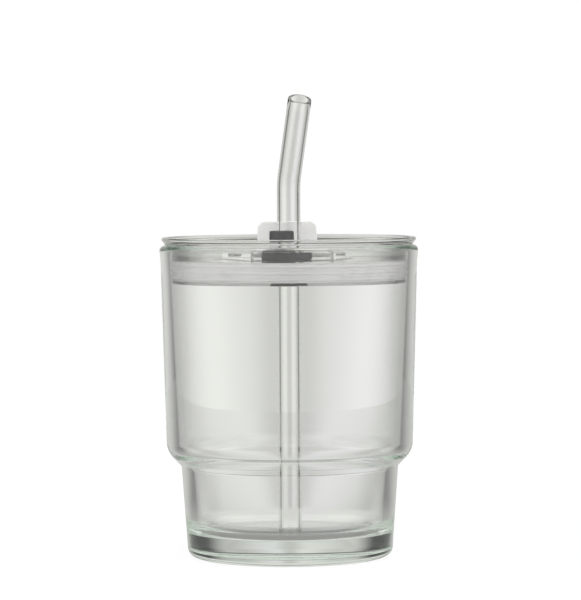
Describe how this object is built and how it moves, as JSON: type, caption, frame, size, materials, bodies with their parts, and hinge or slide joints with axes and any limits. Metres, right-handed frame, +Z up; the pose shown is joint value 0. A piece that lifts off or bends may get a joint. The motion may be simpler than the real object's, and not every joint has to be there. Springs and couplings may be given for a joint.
{
  "type": "lidded glass tumbler with straw",
  "caption": "Stepped clear glass tumbler with a clear lid, soft seal, flip tab, dark stopper and grommet, and a bent glass straw.",
  "frame": {"origin": "centre of the flat foot of the tumbler, on the table", "axes": "+Z up along the axis of the tumbler; -Y is the front, the side that the picture shows; +X is to the right in the picture"},
  "size_m": [0.0888, 0.0888, 0.1582],
  "materials": {
    "tumbler_glass": "clear pressed soda-lime glass with a faint green edge",
    "lid_plastic": "clear injection-moulded plastic, polished",
    "seal_silicone": "translucent milky silicone",
    "dark_silicone": "dark grey silicone, matt",
    "straw_glass": "clear borosilicate glass tube, ends melted round",
    "tab_plastic": "translucent frosted plastic"
  },
  "bodies": {
    "tumbler": {"tumbler": "tumbler_glass"},
    "lid": {"lid": "lid_plastic", "lid_seal": "seal_silicone"},
    "straw_grommet": {"straw_grommet": "dark_silicone"},
    "straw": {"straw": "straw_glass"},
    "stopper": {"stopper": "dark_silicone"},
    "flip_tab": {"flip_tab": "tab_plastic"}
  },
  "joints": [
    {"name": "lid_lift", "type": "slide", "parent": "tumbler", "child": "lid", "axis": [0, 0, 1], "range_m": [0, 0.105]},
    {"name": "grommet_turn", "type": "hinge", "parent": "lid", "child": "straw_grommet", "pos_m": [0, 0, 0.1], "axis": [0, 0, 1], "continuous": true},
    {"name": "straw_pull", "type": "slide", "parent": "straw_grommet", "child": "straw", "axis": [0, 0, 1], "range_m": [0, 0.1]},
    {"name": "stopper_pull", "type": "slide", "parent": "lid", "child": "stopper", "axis": [0, 0, 1], "range_m": [0, 0.012]},
    {"name": "tab_fold", "type": "hinge", "parent": "lid", "child": "flip_tab", "pos_m": [0, 0.0089, 0.1035], "axis": [-1, 0, 0], "range_deg": [0, 90]}
  ]
}
